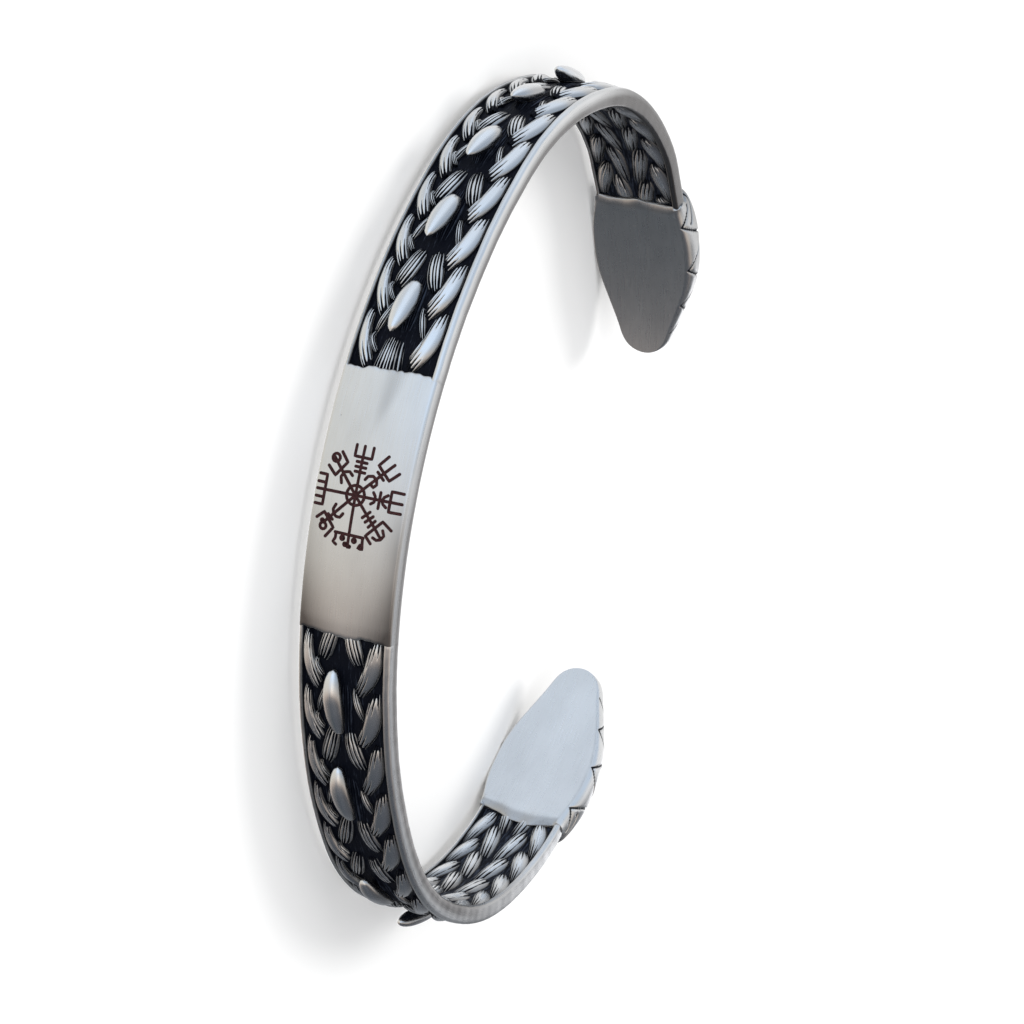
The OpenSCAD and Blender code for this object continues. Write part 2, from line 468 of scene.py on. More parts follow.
def wobble(s, seed, size):
    """A slow hand-finished unevenness along the ring, in millimetres."""
    waves = np.sin(s * 0.71 + seed) + 0.6 * np.sin(s * 1.93 + 2.1 * seed) + 0.4 * np.sin(s * 4.7 + seed)
    return size * waves / 2


def crown(z, size):
    """How far the slightly bulging outer face falls off towards the rims, in millimetres."""
    return size.face_fall * (z / (size.band_h / 2)) ** 2


def rim_side(size, shares):
    """Section points [off, z] across the bulging side of a rim, at shares of the thickness."""
    half = size.band_h / 2
    return [(-size.wall_t * u, half - size.rim_crown * (2 * u - 1) ** 2) for u in shares]


def rim_painted_shade(s, off, size):
    """Painted shade, as a grey film, on the sides of the rims, heavier towards the inner edge."""
    depth = np.clip(-off / size.wall_t, 0, 1)
    inner_edge = rise(depth, 0.55, 0.7)
    share = (0.6 + 0.24 * rise(s, -3, 1) - 0.22 * rise(s, 10, 24)) * rise(s, 50, 42)
    film_and_painted_shade = share * rise(depth, 0.2, 0.62) + 0.3 * inner_edge * rise(s, 44, 38)
    # On the +X arm the painted shade is heavier up to the bend and round it.
    film_and_painted_shade = film_and_painted_shade + 0.2 * rise(depth, 0.3, 0.5) * rise(s, 8, 16) * rise(s, 46, 40)
    film_and_painted_shade = film_and_painted_shade + 0.42 * rise(s, 40, 47) * rise(s, 62, 49)
    # Past the bend of the -X arm the painted shade covers the whole side, and is lighter at the inner edge.
    film_and_painted_shade = film_and_painted_shade - 0.3 * inner_edge * rise(-s, 40, 46)
    return film_and_painted_shade + 0.8 * rise(-s, 41, 53) * smooth(depth / 0.1 + 0.2 * (-50 - s))


# The band between plaque and heads: rails and blackened web

def rail_foot(dip):
    """Corner between a rail and its ground: [depth below the face, distance past the foot]."""
    return [(dip, -0.12), (dip - 0.04, -0.04), (0.08, -0.01), (0.02, 0.03), (0.0, 0.08)]


def rail_section(size, width):
    """Section points [off, z], from the foot of the outer rail round to that of the inner one."""
    w, r = size.wall_t, size.edge_r
    foot, top = size.band_h / 2 - width, size.band_h / 2 - size.rim_crown
    turn = np.radians(np.linspace(90, 0, 7))
    section = [(-depth, foot + past) for depth, past in rail_foot(size.outer_dip)]
    section += [(-r + r * math.sin(a), top - r + r * math.cos(a)) for a in turn]
    section += rim_side(size, (0.28, 0.38, 0.5, 0.62, 0.72))
    section += [(-w + r - r * math.cos(a), top - r + r * math.sin(a)) for a in turn]
    section += [(-w + depth, foot + past) for depth, past in reversed(rail_foot(size.inner_dip))]
    return np.array(section)


class BuildBand(bpy.types.Operator):
    """Rails along both rims and the black web between them"""
    bl_idname = "ring.band"
    bl_label = "Band"

    def execute(self, context):
        size = sizes()
        oval = Oval(size)
        half, w = size.band_h / 2, size.wall_t
        # How far the band runs on under the plaque and the heads, and the web under the rails.
        overlap, tuck = 0.5, 0.1
        rails = Piece("band_rails")
        web = Piece("band_web")
        for low, high in ends(size):
            s = np.linspace(low - overlap, high + overlap, 300)
            for side, width in ((1, size.rail_w), (-1, size.rail_far)):
                section = rail_section(size, width)
                outside = rise(section[:, 0], -w, 0)
                off = (section[:, 0] - crown(section[:, 1], size) * outside)[None, :]
                # The ends of the rails lie just under the faces of the plaque and the head.
                free = rise(s, low, low + 0.8) * rise(s, high, high - 0.8)
                hidden = 0.03 * smooth(np.maximum(low - s, s - high) / 0.02)
                off = off + (wobble(s, 1.3 * side, 0.012) * free - hidden)[:, None]
                z = side * (section[None, :, 1] + (wobble(s, 2.9 * side, 0.014) * free - hidden)[:, None])
                past = section[:, 1] - half + width
                depth = np.maximum(0, np.minimum(-section[:, 0], section[:, 0] + w))
                dark = np.where(past < 0.02, smooth(depth / 0.2), 0.0)
                # Painted shade on the sides of the rims, as a grey film.
                film_and_painted_shade = rim_painted_shade(s[:, None], off, size) * (past > 0.05)[None, :]
                rails.grid(oval.at(s[:, None], off, z), joined(s[:, None], off + z, z), dark[None, :],
                           0.0, np.clip(film_and_painted_shade, 0, 0.92), flip=side > 0)
            across = np.linspace(-half + size.rail_far - tuck, half - size.rail_w + tuck, 41)
            bulge = 0.12 * (1 - (across / half) ** 2)
            # Height off the outer face, whether it looks outwards, and how black it is.
            grounds = ((-size.outer_dip + bulge, True, 1.0), (-w + size.inner_dip - bulge, False, 0.7))
            for off, outwards, dark in grounds:
                place = oval.at(s[:, None], off[None, :], across[None, :])
                web.grid(place, joined(s[:, None], across[None, :], off[None, :]), dark, flip=outwards)
        rails.build(steel_satin())
        web.build(black_ground())
        return {"FINISHED"}


# Braid: bundles of strands laid over the web

# Rows of [place along, distance from the braid's middle, half width, crest above the rail face],
# millimetres, up to the free tip.
LOBE = [[0.0, 2.84, 0.3, -0.32], [0.07, 2.82, 0.42, -0.16], [0.16, 2.78, 0.54, -0.04],
        [0.28, 2.71, 0.64, 0.03], [0.42, 2.62, 0.71, 0.08], [0.56, 2.46, 0.72, 0.1],
        [0.7, 2.22, 0.66, 0.09], [0.82, 1.94, 0.58, 0.05], [0.92, 1.68, 0.5, -0.02], [1.0, 1.48, 0.4, -0.12]]
FAR_LOBE = [[0.0, 2.9, 0.22, -0.32], [0.08, 2.93, 0.32, -0.18], [0.2, 2.94, 0.4, -0.05],
            [0.35, 2.9, 0.47, 0.02], [0.5, 2.8, 0.54, 0.08], [0.65, 2.63, 0.58, 0.1],
            [0.8, 2.36, 0.57, 0.06], [0.91, 2.12, 0.52, -0.01], [1.0, 1.9, 0.42, -0.12]]
HOOK = [[0.0, 1.86, 0.06, -0.15], [0.5, 1.62, 0.13, 0.02], [1.0, 1.2, 0.07, -0.1]]
FAR_HOOK = [[0.0, 2.1, 0.14, -0.22], [0.3, 2.16, 0.2, -0.08], [0.6, 1.98, 0.24, -0.06],
            [1.0, 1.55, 0.16, -0.17]]
STRAND = [[0.0, 0.6, 0.42, -0.3], [0.2, 0.74, 0.6, -0.1], [0.5, 0.98, 0.7, 0.03], [0.8, 1.3, 0.64, -0.02],
          [1.0, 1.55, 0.44, -0.2]]
SLIVER = [[0.0, 1.15, 0.14, -0.3], [0.3, 1.32, 0.26, -0.08], [0.6, 1.58, 0.3, -0.02],
          [1.0, 1.92, 0.16, -0.25]]
FAN = [[0.0, 0.0, 0.85, -0.34], [0.3, 0.0, 0.98, -0.16], [0.7, 0.0, 1.2, -0.08], [1.0, 0.0, 1.36, -0.12]]
HAIRS = [[0.0, 0.0, 0.5, -0.5], [0.2, 0.0, 0.95, -0.3], [0.5, 0.0, 1.05, -0.2], [0.8, 0.0, 0.95, -0.22],
         [1.0, 0.0, 0.6, -0.45]]
INNER_LOBE = [[0.0, 3.12, 0.2, -0.3], [0.18, 3.0, 0.46, -0.08], [0.4, 2.84, 0.66, 0.06],
              [0.6, 2.62, 0.78, 0.12], [0.78, 2.4, 0.74, 0.1], [0.9, 2.24, 0.54, 0.03],
              [1.0, 2.1, 0.26, -0.12]]
INNER_STRAND = [[0.0, 0.5, 0.36, -0.3], [0.15, 0.64, 0.54, -0.12], [0.4, 0.84, 0.7, 0.03],
                [0.65, 1.05, 0.78, 0.08], [0.86, 1.26, 0.7, 0.04], [1.0, 1.36, 0.42, -0.14]]
# Rows of [reach from the start, reach from the tip] of the dark cuts between ridges, as shares of the
# length, from the middle side to the rail side.
LOBE_CUTS = [[0.48, 0.44], [0.38, 0.36], [0.28, 0.24]]
HOOK_CUTS = [[0.3, 0.3]]
FAR_HOOK_CUTS = [[0.9, 0.9], [0.7, 0.8]]
STRAND_CUTS = [[1.1, 1.0], [0.95, 0.85], [0.9, 0.8], [0.8, 0.8]]
SLIVER_CUTS = [[1.1, 1.1], [0.8, 0.9]]
FAN_CUTS = [[1.15, 1.15]] * 8
HAIR_CUTS = [[0.9, 0.9]] * 9
INNER_LOBE_CUTS = [[0.6, 0.4], [0.5, 0.3], [0.4, 0.3], [0.3, 0.2]]
INNER_STRAND_CUTS = [[0.7, 0.5], [0.6, 0.5], [0.6, 0.4]]


class Bundle:
    """One kind of strand bundle. Its knots give the shape, span the length and shift the offset across
    the band; slope leans it, comb deepens the lines between its ridges, body rounds it and stagger
    shortens the ridges on the middle side."""

    def __init__(self, knots, cuts, span, shift, slope=0.0, comb=0.0, body=3.0, stagger=0.0):
        self.knots, self.cuts, self.span, self.shift = knots, cuts, span, shift
        self.slope, self.comb, self.body, self.stagger = slope, comb, body, stagger

    def lay(self, piece, oval, tip, side, face, size, chance, extra_dark=0.0):
        """Lays one bundle whose far end is at tip; face is 1 outside and -1 inside."""
        t = np.linspace(0, 1, 30)
        count = len(self.cuts) + 1
        edges = np.linspace(-1, 1, count + 1)
        edges[1:-1] += chance.uniform(-0.4, 0.4, count - 1) / count
        # Places across one ridge; q runs over all ridges and dome is 1 on a crest and 0 in a cut.
        part = np.array([0.0, 0.12, 0.26, 0.42, 0.58, 0.74, 0.88])
        q = np.append((edges[:-1, None] + np.diff(edges)[:, None] * part).ravel(), 1.0)
        dome = np.append(np.tile(np.sin(part * math.pi), count), 0.0)
        ridge = np.append(np.repeat(np.arange(count), len(part)), count - 1)
        # The cut on the nearer side of each point, and how far it reaches from both ends.
        nearest = np.append((np.arange(count)[:, None] + (part > 0.5)).ravel(), count)
        cuts = np.array([self.cuts[0]] + self.cuts + [self.cuts[-1]])
        cuts[0] *= 0.6
        cuts = cuts * chance.uniform(0.8, 1.2, cuts.shape)
        start, end = cuts[nearest].T
        y, half, crest = curve_through(self.knots, t).T
        span = self.span * (1 + chance.uniform(-0.03, 0.03))
        half = half * (1 + chance.uniform(-0.04, 0.04))
        s = tip - span + span * t
        dy = np.gradient(y, t)
        norm = np.hypot(dy, span)
        t = t[:, None]
        reach = np.clip(np.maximum(1 - t / start, 1 - (1 - t) / end), 0, 1) ** 0.75
        mask = smooth((reach * 1.1 - dome) / 0.3)
        # Ridges end at uneven places.
        inward = self.stagger * (1 - np.arange(count) / (count - 1))
        spread = 0.13 if self.stagger == 0 else 0.05
        short = (chance.uniform(0.0, spread, count) + inward)[ridge]
        late = (chance.uniform(0.0, spread, count) + 1.3 * inward)[ridge]
        mask = np.maximum(mask, np.maximum(smooth((t - 1 + short) / 0.05), smooth((late - t) / 0.05)))
        depth = np.clip((reach * 1.15 - dome) / 0.8, 0, 1)
        dip = size.outer_dip if face > 0 else size.inner_dip
        body = (1 - np.abs(q) ** self.body) ** 0.6
        height = (crest + dip)[:, None] * body - 0.2 * depth - self.comb * (1 - dome)
        height = height - self.slope * half[:, None] * q * body
        along = s[:, None] - (dy / norm * half)[:, None] * q
        out = y[:, None] + (span / norm * half)[:, None] * q
        # Nothing stands up under the heads.
        base = size.plaque_left + size.braid_left if tip < 0 else size.plaque_right + size.braid_right
        height = height * rise(np.abs(along), base - 0.1, base - 0.6)
        off = -dip + height if face > 0 else -size.wall_t + dip - height
        # Outside, painted shade: black at the flanks of each bundle and a grey film growing towards them.
        if face > 0:
            edge = 0.9 * rise(np.abs(q), 0.8, 1.0)[None, :]
            film_and_painted_shade = 0.5 * rise(np.abs(q), 0.3, 0.95)[None, :] + 0.06
            fray = 0.2
        else:
            # Inside, the cuts are less black, and black and a grey film of painted shade grow from the
            # middle of each bundle towards its flanks and ends, so that only the crests stay bright.
            mask = mask * 0.75
            edge = 0.5 * rise(np.hypot(q * 0.9, 1.2 * (t - 0.55)), 0.62, 1.02)
            film_and_painted_shade = 0.85 * rise(np.hypot(q * 0.8, 1.3 * (t - 0.62)), 0.1, 0.85)
            fray = 0.45
        dark = np.maximum(mask, edge) + self.comb * 4.0 * (1 - dome) ** 2
        dark = dark + self.comb * 12 * chance.uniform(0, 1, count)[ridge]
        fray = fray + 0.25 * rise(np.abs(2 * t - 1), 0.35, 0.95)
        across = (half.mean() * q)[None, :] + chance.uniform(0, 90)
        run = joined(span * t, across, chance.uniform(0, 90))
        piece.grid(oval.at(along, off, side * out + self.shift), run, np.clip(dark + extra_dark, 0, 1),
                   fray, film_and_painted_shade, flip=(side * face) > 0)


class BuildBraid(bpy.types.Operator):
    """Outer and inner braid relief on both stretches"""
    bl_idname = "ring.braid"
    bl_label = "Braid"

    def execute(self, context):
        size = sizes()
        oval = Oval(size)
        lobe = Bundle(LOBE, LOBE_CUTS, 4.9, -0.2, slope=0.25, stagger=0.1)
        far_lobe = Bundle(FAR_LOBE, LOBE_CUTS, 4.6, -0.1, slope=0.25, stagger=0.08)
        hook = Bundle(HOOK, HOOK_CUTS, 1.75, -0.1)
        far_hook = Bundle(FAR_HOOK, FAR_HOOK_CUTS, 1.5, -0.1, comb=0.02)
        strand = Bundle(STRAND, STRAND_CUTS, 3.4, -0.3, slope=0.05, comb=0.03)
        sliver = Bundle(SLIVER, SLIVER_CUTS, 2.7, -0.3, slope=0.05, comb=0.03)
        plump = Bundle(INNER_LOBE, INNER_LOBE_CUTS, 4.7, -0.08, slope=0.1, comb=0.02, body=2.0)
        wide = Bundle(INNER_STRAND, INNER_STRAND_CUTS, 5.0, -0.15, slope=0.05, comb=0.02, body=2.0)
        fan = Bundle(FAN, FAN_CUTS, 2.9, -0.45, comb=0.03)
        hairs = Bundle(HAIRS, HAIR_CUTS, 5.6, size.bead_z + 0.3, comb=0.05)
        left, right = ends(size)
        # Middles of the beads.
        beads = np.array([s - 2.35 for s in BEADS_LEFT] + [s + 2.7 for s in BEADS_RIGHT])
        near, far, both = (1,), (-1,), (1, -1)
        # Name, stretch, face, then the rows of bundles: kind, first tip, pitch and sides.
        rows = [
            ("braid_outer_left", left, 1,
             (lobe, -11.75, 4.13, near), (far_lobe, -11.4, 4.13, far),
             (hook, -12.55, 4.13, near), (far_hook, -12.6, 4.13, far), (strand, -14.1, 3.825, both)),
            ("braid_outer_right", right, 1,
             (lobe, 13.0, 4.53, near), (far_lobe, 13.15, 4.53, far),
             (hook, 12.3, 4.53, near), (far_hook, 12.1, 4.53, far), (strand, 10.7, 4.5, both)),
            ("braid_inner_left", left, -1,
             (plump, -12.6, 3.87, near), (plump, -13.3, 3.87, far), (wide, -10.4, 3.9, both)),
            ("braid_inner_right", right, -1,
             (plump, 12.95, 3.87, both), (wide, 11.4, 3.87, both)),
        ]
        for name, (low, high), face, *kinds in rows:
            chance = np.random.default_rng(len(name) * 7 + face)
            piece = Piece(name)
            for kind, first, pitch, sides in kinds:
                if high < 0:
                    tips = np.arange(first, low - 1.5, -pitch)
                else:
                    tips = np.arange(first, high + kind.span * 0.7, pitch)
                for tip in tips:
                    # Beside a bead only a sliver of the strands shows.
                    here = sliver if kind is strand and np.abs(beads - tip + 1.7).min() < 2.4 else kind
                    for side in sides:
                        here.lay(piece, oval, tip, side, face, size, chance)
            if name == "braid_outer_left":
                fan.lay(piece, oval, -11.1, 1, 1, size, chance, extra_dark=0.1)
            piece.build(steel_polished())
        chance = np.random.default_rng(5)
        piece = Piece("hairs")
        for tip in [s - 0.3 for s in BEADS_LEFT] + [s + 6.3 for s in BEADS_RIGHT]:
            hairs.lay(piece, oval, tip, 1, 1, size, chance, extra_dark=0.25)
        piece.build(black_ground())
        return {"FINISHED"}


# Beads

# Rows of [place along, radius share], from the end that stands free to the one that sinks in.
BEAD = [[0.0, 0.0], [0.03, 0.3], [0.1, 0.56], [0.22, 0.8], [0.38, 0.96], [0.55, 1.0], [0.72, 0.93],
        [0.86, 0.72], [0.95, 0.44], [1.0, 0.0]]
# Round ends, in millimetres from the middle of the front.
BEADS_LEFT = (-13.9, -21.6, -29.2, -36.8, -44.4, -51.9)
BEADS_RIGHT = (11.3, 19.85, 32.5, 41.7, 51.3)


class BuildBeads(bpy.types.Operator):
    """Teardrop beads along the middle of the outer braid"""
    bl_idname = "ring.beads"
    bl_label = "Beads"

    def execute(self, context):
        size = sizes()
        oval = Oval(size)
        piece = Piece("beads")
        u = (1 - np.cos(np.linspace(0, math.pi, 33))) / 2
        around = np.radians(np.arange(0, 360, 9.0))
        for k, (s, way) in enumerate([(s, -1) for s in BEADS_LEFT] + [(s, 1) for s in BEADS_RIGHT]):
            # Beads on the +X arm are longer and slimmer, and the first of them lie flatter.
            flat = float(rise(s, 38, 28)) * (way > 0)
            long = size.bead_l * (1.22 - 0.1 * flat if way > 0 else 0.94)
            radius = np.maximum(curve_through(BEAD, u ** (0.8 if way > 0 else 1.15))[:, 0], 0.01)
            radius[0] = radius[-1] = 0
            centre = s + way * long * 0.5
            # The last one before the left head lies low.
            height = size.bead_h - size.bead_w * 0.41 - 0.5 * (s < -50)
            origin = oval.at(centre, height, size.bead_z - 0.08 * way)
            slope = (size.bead_tilt - way * math.radians(1)) * (1 - 0.45 * flat)
            lean, aside = float(oval.look(centre)) + way * slope, size.bead_lean
            axis = np.array([math.cos(lean) * way, math.sin(lean) * way, math.tan(aside)])
            up = np.array([math.sin(lean), -math.cos(lean), 0.0])
            side = np.array([0.0, 0.0, 1.0])
            r = radius * size.bead_w / 2 * (0.9 if way > 0 else 1.0)
            place = (origin + axis * ((u - 0.5) * long)[:, None, None]
                     + side * (r[:, None] * np.cos(around))[..., None]
                     + up * (0.82 * r[:, None] * np.sin(around))[..., None])
            # The flatter ones droop at both ends.
            droop = 0.66 * np.clip(1 - u / 0.42, 0, 1) ** 2 + 0.3 * np.clip((u - 0.5) / 0.5, 0, 1) ** 2
            place = place - up * (droop * flat)[:, None, None]
            under = s + way * u * long
            facing = joined(np.sin(oval.look(under)), -np.cos(oval.look(under)), 0.0)
            above = ((place - oval.at(under, 0, 0)[:, None]) * facing[:, None]).sum(-1)
            dark = np.maximum(rise(above, 0.02, -0.23), 0.9 * rise(u, 0.86, 0.98)[:, None])
            fray = 0.12 + 0.5 * rise(u, 0.7, 0.9)[:, None]
            # Painted shade on the side of each bead towards the near rim, as a grey film.
            film_and_painted_shade = 0.5 * rise(np.cos(around), 0.45, 0.95)[None, :] * rise(-s, 44, 38)
            run = joined((u * long)[:, None], (around * 0.9)[None, :] + 9.0 * k, 0.0)
            piece.grid(place, run, dark, fray, film_and_painted_shade, closed=True, flip=way < 0)
        piece.build(steel_polished())
        return {"FINISHED"}


# Plaque

class BuildPlaque(bpy.types.Operator):
    """Plain plaque, slightly crowned, with rounded rims and uneven cast ends"""
    bl_idname = "ring.plaque"
    bl_label = "Plaque"

    def execute(self, context):
        size = sizes()
        oval = Oval(size)
        half, w, r = size.band_h / 2, size.wall_t, size.edge_r
        flat = np.linspace(-half + r, half - r, 61)
        turn = np.radians(np.linspace(0, 90, 8))
        fall, top = crown(half - r, size), half - size.rim_crown
        section = [(-crown(z, size), z) for z in flat]
        section += [(-fall - r + r * math.cos(a), top - r + r * math.sin(a)) for a in turn[1:]]
        section += rim_side(size, (0.4, 0.5, 0.6, 0.7))
        section += [(-w + r - r * math.sin(a), top - r + r * math.cos(a)) for a in turn]
        section += [(-w, z) for z in flat[::-1]][1:]
        section += [(-w + r - r * math.sin(a), -half + r - r * math.cos(a)) for a in turn[::-1]][1:]
        section += [(-fall - r + r * math.cos(a), -half + r - r * math.sin(a)) for a in turn[::-1]][:-1]
        section = np.array(section)
        low, high = -size.plaque_left, size.plaque_right
        # The face drops to the ground over the last bit of each end.
        lead = np.array([0.0, 0.0, 0.03, 0.1, 0.2, 0.34, 0.5])
        drop = np.array([0.62, 0.14, 0.06, 0.02, 0.0, 0.0, 0.0])
        end_run = 0.7
        middle = np.linspace(low + end_run, high - end_run, 160)
        s = np.concatenate([low + lead, middle, high - lead[::-1]])
        sink = np.concatenate([drop, np.zeros(len(middle)), drop[::-1]])
        off = np.repeat(section[None, :, 0], len(s), 0)
        z = np.repeat(section[None, :, 1], len(s), 0)
        inner = off < -w / 2
        foot = half - np.where(z > 0, size.rail_w, size.rail_far)
        inside = rise(np.abs(z), foot + 0.06, foot - 0.06)
        off = off + np.where(inner, 1, -1) * sink[:, None] * inside
        column = s[:, None]
        near_low = np.clip(1 - (column - low) / end_run, 0, 1)
        near_high = np.clip(1 - (high - column) / end_run, 0, 1)
        # The left end runs out in two steps towards the near rim.
        shape = 0.035 * np.sin(z * 3.6 + 0.7) + 0.03 * np.sin(z * 9.0) + 0.2 * rise(z, -2.1, -1.7)
        shape = shape + 0.12 * rise(z, 1.0, 1.25) + 0.1 * rise(np.abs(z - 0.85), 0.35, 0.05)
        along = column - near_low * inside * np.where(inner, 0.04 * np.sin(z * 2), shape)
        # The right end bulges in the middle.
        shape = 0.2 * rise(np.abs(z + 0.4), 1.9, 1.2) + 0.04 * np.sin(z * 2.3 + 1) + 0.03 * np.sin(z * 7.9)
        along = along + near_high * inside * np.where(inner, 0.05 * np.sin(z * 2.6), shape)
        # Darker over the last 0.3 mm of each end.
        extra_dark = 0.3 * rise(np.minimum(column - low, high - column), 0.3, 0.0) * inside
        # Painted shade in a band along the far rim of the outer face.
        rim = 0.16 * rise(np.abs(z), half - 0.75, half - 0.35) * (z < 0) * (~inner)
        dark = np.clip(sink[:, None] * inside * 3, 0, 1) + extra_dark + rim
        # Painted shade towards both rims, as a grey film, growing to the right end.
        far = np.clip(np.abs(z) / 3.5, 0, 1) ** (3.6 - 1.9 * rise(column, 1, 8))
        grow = np.where(z > 0, 0.55 * rise(column, -4, 2) + 0.3 * rise(column, 2, 8),
                        0.3 * rise(column, -3, 3) + 0.55 * rise(column, 2, 8))
        film_and_painted_shade = far * grow + 0.2 * rise(column, 7, 8.2)
        # A faint streak at the left end.
        wide = 0.4 + 0.9 * rise(-column, 6, 12)
        streak = smooth(1 - np.abs(z - 0.55 + 0.12 * (column + 11)) / wide)
        film_and_painted_shade = film_and_painted_shade + 0.26 * streak * rise(-column, 6.5, 9.5)
        # The painted shade stays on the outer face and is weaker inside; the rim sides get the painted shade
        # of the rims.
        film_and_painted_shade = film_and_painted_shade * np.where(inner, 0.3, rise(off, -0.4, -0.1))
        film_and_painted_shade = film_and_painted_shade + rim_painted_shade(column, off, size) * (np.abs(z) > half - r * 0.9)
        piece = Piece("plaque")
        piece.grid(oval.at(along, off, z), joined(along, np.where(inner, z + 31, z), off),
                   np.clip(dark, 0, 1), 0.0, np.clip(film_and_painted_shade, 0, 0.9), closed=True, flip=True, caps=True)
        piece.build(steel_satin())
        return {"FINISHED"}


# Engraved stave: a wheel with eight arms. Strokes are in millimetres from its middle, x to the near rim and
# y to the left arm of the ring.

def arc(x, y, r, start=0, stop=360, steps=13):
    """Points of an arc about x, y, in degrees."""
    return [(x + r * math.cos(math.radians(a)), y + r * math.sin(math.radians(a)))
            for a in np.linspace(start, stop, steps)]


ARM_N = [[(0, 0), (0, 3.6)], [(-0.4, 1.7), (0.4, 1.7)], [(-0.42, 2.06), (0.4, 2.06)],
         [(-0.4, 2.42), (0.42, 2.42)], [(-0.66, 3.6), (-0.66, 2.78), (0.72, 2.78), (0.72, 3.6)]]
ARM_S = [[(0, 0), (0, -3.8)], [(-1.14, -2.9), (1.16, -2.9)],
         [(-1.06, -2.9), (-1.06, -3.3), (-1.22, -3.62), (-0.95, -3.78)],
         [(1.12, -2.9), (1.14, -3.3), (1.2, -3.74), (0.84, -3.72), (1.0, -3.45)],
         arc(-0.5, -3.22, 0.13), arc(0.46, -3.24, 0.13), arc(-0.22, -3.64, 0.1), arc(0.14, -3.74, 0.05)]
ARM_E = [[(0, 0), (3.74, 0.08)], [(3.74, -0.62), (2.78, -0.66), (2.8, 0.84), (3.76, 0.84)],
         [(1.3, -0.36), (1.54, -0.18), (1.6, 0.04), (1.55, 0.26), (1.38, 0.48)],
         [(1.93, -0.56), (1.95, 0.6)],
         [(2.52, -0.38), (2.26, -0.2), (2.15, 0.04), (2.26, 0.3), (2.55, 0.5)]]
ARM_W = [[(0, 0), (-3.14, -0.07)], [(-3.14, -1.16), (-2.52, -1.16), (-2.52, 1.04), (-3.1, 1.04)],
         [(-3.14, -0.62), (-2.52, -0.62)], [(-3.14, 0.45), (-2.52, 0.45)]]
ARM_SE = [[(0, 0), (1.95, -2.03), (2.42, -2.56)], [(0.84, -1.46), (1.38, -0.95)],
          [(1.12, -1.73), (1.68, -1.22)], [(1.42, -2.04), (1.9, -1.5)],
          [(1.78, -3.18), (1.3, -2.7), (2.5, -1.43), (3.25, -1.93)],
          [(1.9, -2.72), (2.2, -2.84), (2.52, -2.74), (2.74, -2.42), (2.6, -2.06)]]
ARM_NE = [[(0, 0), (2.6, 2.72)], [(2.02, 3.22), (1.38, 2.47), (2.4, 1.52), (3.1, 2.17)],
          [(1.4, 1.98), (1.95, 1.5)],
          [(0.52, 1.27), (0.72, 1.54), (1.1, 1.62), (1.42, 1.42), (1.5, 1.07), (1.26, 0.82), (1.06, 0.98)]]
ARM_SW = [[(0, 0), (-2.15, -2.35)],
          [(-0.75, -1.5), (-0.95, -1.8), (-1.26, -1.8), (-1.5, -1.6), (-1.58, -1.3), (-1.42, -0.93)],
          [(-1.92, -1.74), (-1.52, -2.06)], [(-2.8, -2.13), (-2.25, -1.63), (-1.35, -2.63), (-1.9, -3.38)],
          arc(-2.2, -2.66, 0.25), arc(-2.32, -2.28, 0.08)]
ARM_NW = [[(0, 0), (-2.2, 2.4)], [(-1.3, 0.67), (-1.42, 1.1), (-1.2, 1.5), (-0.8, 1.58), (-0.53, 1.35)],
          [(-2.55, 1.72), (-1.9, 1.12), (-1.1, 2.22), (-1.68, 2.87)], arc(-2.08, 2.38, 0.3)]
WHEEL = arc(0, 0, 0.72, steps=25)
STROKES = ARM_N + ARM_S + ARM_E + ARM_W + ARM_SE + ARM_NE + ARM_SW + ARM_NW + [WHEEL]


class BuildStave(bpy.types.Operator):
    """Engraved traditional stave on the plaque"""
    bl_idname = "ring.stave"
    bl_label = "Stave"

    def execute(self, context):
        size = sizes()
        oval = Oval(size)
        piece = Piece("stave")
        half = size.stave_line / 2
        # Middle of the wheel; then the step along a stroke, its height and what each one adds.
        middle_s, middle_z = -2.08, -0.4
        step, proud, layer = 0.12, 0.012, 0.0003
        for k, line in enumerate(STROKES):
            line = np.array(line) * size.stave_scale
            counts = np.maximum(1, (np.hypot(*np.diff(line, axis=0).T) / step).astype(int))
            legs = [np.linspace(a, b, n, endpoint=False) for a, b, n in zip(line, line[1:], counts)]
            path = np.concatenate(legs + [line[-1:]])
            way = np.gradient(path, axis=0)
            way = way / np.maximum(np.hypot(*way.T), 1e-9)[:, None]
            # Round ends: three narrower rows beyond each end.
            cap = np.array([1.0, 0.85, 0.5])
            path = np.concatenate([path[:1] - cap[:, None] * half * way[0], path,
                                   path[-1:] + cap[::-1, None] * half * way[-1]])
            way = np.concatenate([np.repeat(way[:1], 3, 0), way, np.repeat(way[-1:], 3, 0)])
            wide = np.full(len(path), half)
            wide[:3] = half * np.sqrt(1 - cap ** 2) + 0.004
            wide[-3:] = wide[2::-1]
            side = np.stack([-way[:, 1], way[:, 0]], -1)
            spread = wide[:, None] * np.linspace(-1, 1, 4)[None, :]
            ribbon = path[:, None, :] + side[:, None, :] * spread[..., None]
            s = middle_s - ribbon[..., 1]
            z = middle_z + ribbon[..., 0]
            # Each stroke lies a hair above the one before, so that crossings don't flicker.
            off = proud + layer * k - crown(z, size)
            piece.grid(oval.at(s, off, z), joined(s, z, off), 1.0, flip=True)
        piece.build(material("engraved_lines", mark_finish))
        return {"FINISHED"}


# Snake heads

# Rows of [place along, half width share, thickness share].
HEAD = [[0, 0.85, 0.5], [0.02, 0.858, 0.68], [0.05, 0.875, 0.86], [0.09, 0.9, 0.96], [0.14, 0.94, 1.0],
        [0.22, 0.985, 1.0], [0.32, 1, 0.97], [0.44, 0.985, 0.93], [0.56, 0.905, 0.88], [0.66, 0.79, 0.8],
        [0.76, 0.66, 0.72], [0.84, 0.555, 0.66], [0.92, 0.465, 0.56], [1.0, 0.4, 0.4]]
